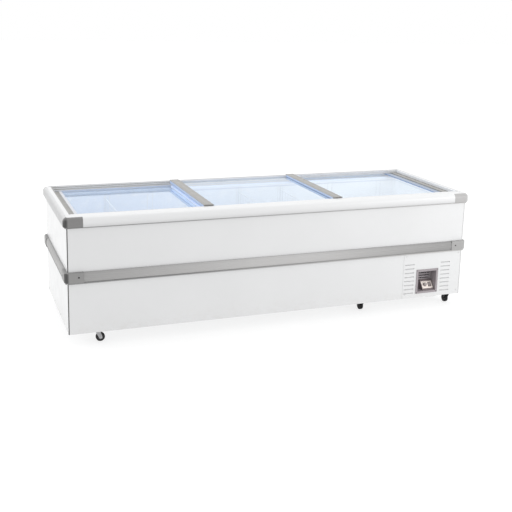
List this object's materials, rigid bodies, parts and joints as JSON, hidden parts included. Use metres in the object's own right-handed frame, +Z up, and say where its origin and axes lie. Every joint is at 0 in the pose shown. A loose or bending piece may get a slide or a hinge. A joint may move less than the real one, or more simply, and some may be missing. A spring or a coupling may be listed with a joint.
{
  "type": "island display freezer",
  "caption": "Long white chest freezer for ice cream on swivel castors, with sliding glass lids, grey edge mouldings and a louvred machine compartment with a recessed control bay.",
  "frame": {"origin": "on the floor under the middle of the cabinet's footprint", "axes": "+X along the length towards the machine compartment, -Y out of the long side that carries the controls, +Z up"},
  "size_m": [2.476, 0.86, 0.7345],
  "materials": {
    "white_paint": "smooth white painted sheet steel",
    "galvanised": "zinc plated sheet steel",
    "foam": "rigid insulating foam",
    "liner": "white painted liner",
    "white_plastic": "white extruded plastic",
    "lid_grey": "grey plastic lid profile",
    "grey_plastic": "grey extruded plastic",
    "aluminium": "plain aluminium",
    "black_paint": "black painted steel",
    "glass": "clear tempered flat glass",
    "black_rubber": "black wheel tread",
    "black_plastic": "black plastic",
    "wire": "white coated wire"
  },
  "bodies": {
    "cabinet": {"front_panel": "white_paint", "rear_panel": "white_paint", "left_end_panel": "white_paint", "right_end_panel": "white_paint", "grille_panel": "white_paint", "base_pan": "galvanised", "foam_body": "foam", "inner_liner": "liner", "breaker_frame": "liner", "top_cover": "white_plastic", "lid_track_front": "lid_grey", "lid_track_rear": "lid_grey", "bumper_front": "white_plastic", "bumper_rear": "white_plastic", "bumper_left": "white_plastic", "bumper_right": "white_plastic", "bumper_corner_front_left": "grey_plastic", "bumper_corner_front_right": "grey_plastic", "bumper_corner_rear_left": "grey_plastic", "bumper_corner_rear_right": "grey_plastic", "band_front": "grey_plastic", "band_rear": "grey_plastic", "band_left": "grey_plastic", "band_right": "grey_plastic", "band_corner_front_left": "grey_plastic", "band_corner_front_right": "grey_plastic", "band_corner_rear_left": "grey_plastic", "band_corner_rear_right": "grey_plastic", "control_bezel": "grey_plastic", "control_console": "white_plastic", "condenser": "aluminium", "fan_motor": "galvanised", "compressor": "black_paint"},
    "left_lid": {"lid_left_glass": "glass", "lid_left_stile_left": "lid_grey", "lid_left_stile_right": "lid_grey"},
    "middle_lid": {"lid_middle_glass": "glass", "lid_middle_stile_left": "lid_grey", "lid_middle_stile_right": "lid_grey"},
    "right_lid": {"lid_right_glass": "glass", "lid_right_stile_left": "lid_grey", "lid_right_stile_right": "lid_grey"},
    "castor_front_left": {"castor_fork_front_left": "galvanised"},
    "wheel_front_left": {"castor_wheel_front_left": "black_rubber"},
    "castor_front_middle": {"castor_fork_front_middle": "galvanised"},
    "wheel_front_middle": {"castor_wheel_front_middle": "black_rubber"},
    "castor_front_right": {"castor_fork_front_right": "galvanised"},
    "wheel_front_right": {"castor_wheel_front_right": "black_rubber"},
    "castor_rear_left": {"castor_fork_rear_left": "galvanised"},
    "wheel_rear_left": {"castor_wheel_rear_left": "black_rubber"},
    "castor_rear_middle": {"castor_fork_rear_middle": "galvanised"},
    "wheel_rear_middle": {"castor_wheel_rear_middle": "black_rubber"},
    "castor_rear_right": {"castor_fork_rear_right": "galvanised"},
    "wheel_rear_right": {"castor_wheel_rear_right": "black_rubber"},
    "knob": {"thermostat_knob": "black_plastic"},
    "switch": {"power_switch": "black_plastic"},
    "fan": {"condenser_fan": "aluminium"},
    "divider_left": {"divider_left": "wire"},
    "divider_middle": {"divider_middle": "wire"},
    "divider_right": {"divider_right": "wire"}
  },
  "joints": [
    {"name": "left_lid_slide", "type": "slide", "parent": "cabinet", "child": "left_lid", "axis": [1, 0, 0], "range_m": [0, 1.578]},
    {"name": "middle_lid_slide", "type": "slide", "parent": "cabinet", "child": "middle_lid", "axis": [1, 0, 0], "range_m": [-0.739, 0.7795]},
    {"name": "right_lid_slide", "type": "slide", "parent": "cabinet", "child": "right_lid", "axis": [1, 0, 0], "range_m": [-1.539, 0]},
    {"name": "castor_front_left_swivel", "type": "hinge", "parent": "cabinet", "child": "castor_front_left", "pos_m": [-1.06, -0.338, 0.06], "axis": [0, 0, 1], "continuous": true},
    {"name": "wheel_front_left_spin", "type": "hinge", "parent": "castor_front_left", "child": "wheel_front_left", "pos_m": [-1.038, -0.338, 0.025], "axis": [0, 1, 0], "continuous": true},
    {"name": "castor_front_middle_swivel", "type": "hinge", "parent": "cabinet", "child": "castor_front_middle", "pos_m": [0.586, -0.318, 0.06], "axis": [0, 0, 1], "continuous": true},
    {"name": "wheel_front_middle_spin", "type": "hinge", "parent": "castor_front_middle", "child": "wheel_front_middle", "pos_m": [0.586, -0.296, 0.025], "axis": [-1, 0, 0], "continuous": true},
    {"name": "castor_front_right_swivel", "type": "hinge", "parent": "cabinet", "child": "castor_front_right", "pos_m": [1.181, -0.344, 0.06], "axis": [0, 0, 1], "continuous": true},
    {"name": "wheel_front_right_spin", "type": "hinge", "parent": "castor_front_right", "child": "wheel_front_right", "pos_m": [1.181, -0.322, 0.025], "axis": [-1, 0, 0], "continuous": true},
    {"name": "castor_rear_left_swivel", "type": "hinge", "parent": "cabinet", "child": "castor_rear_left", "pos_m": [-1.06, 0.338, 0.06], "axis": [0, 0, 1], "continuous": true},
    {"name": "wheel_rear_left_spin", "type": "hinge", "parent": "castor_rear_left", "child": "wheel_rear_left", "pos_m": [-1.049, 0.35705, 0.025], "axis": [-0.866, 0.5, 0], "continuous": true},
    {"name": "castor_rear_middle_swivel", "type": "hinge", "parent": "cabinet", "child": "castor_rear_middle", "pos_m": [0.586, 0.318, 0.06], "axis": [0, 0, 1], "continuous": true},
    {"name": "wheel_rear_middle_spin", "type": "hinge", "parent": "castor_rear_middle", "child": "wheel_rear_middle", "pos_m": [0.60667, 0.32552, 0.025], "axis": [-0.342, 0.9397, 0], "continuous": true},
    {"name": "castor_rear_right_swivel", "type": "hinge", "parent": "cabinet", "child": "castor_rear_right", "pos_m": [1.181, 0.344, 0.06], "axis": [0, 0, 1], "continuous": true},
    {"name": "wheel_rear_right_spin", "type": "hinge", "parent": "castor_rear_right", "child": "wheel_rear_right", "pos_m": [1.181, 0.322, 0.025], "axis": [1, 0, 0], "continuous": true},
    {"name": "thermostat_turn", "type": "hinge", "parent": "cabinet", "child": "knob", "pos_m": [0.988, -0.38292, 0.14768], "axis": [0, -0.7765, 0.6301], "range_deg": [0, 270]},
    {"name": "power_switch_rock", "type": "hinge", "parent": "cabinet", "child": "switch", "pos_m": [1.021, -0.38245, 0.1473], "axis": [1, 0, 0], "range_deg": [0, 14]},
    {"name": "condenser_fan_spin", "type": "hinge", "parent": "cabinet", "child": "fan", "pos_m": [0.955, -0.2365, 0.21], "axis": [0, 1, 0], "continuous": true},
    {"name": "divider_left_slide", "type": "slide", "parent": "cabinet", "child": "divider_left", "axis": [1, 0, 0], "range_m": [-0.24, 0.4]},
    {"name": "divider_middle_slide", "type": "slide", "parent": "cabinet", "child": "divider_middle", "axis": [1, 0, 0], "range_m": [-0.4, 0.13]},
    {"name": "divider_right_slide", "type": "slide", "parent": "cabinet", "child": "divider_right", "axis": [1, 0, 0], "range_m": [-0.13, 0.4]}
  ]
}
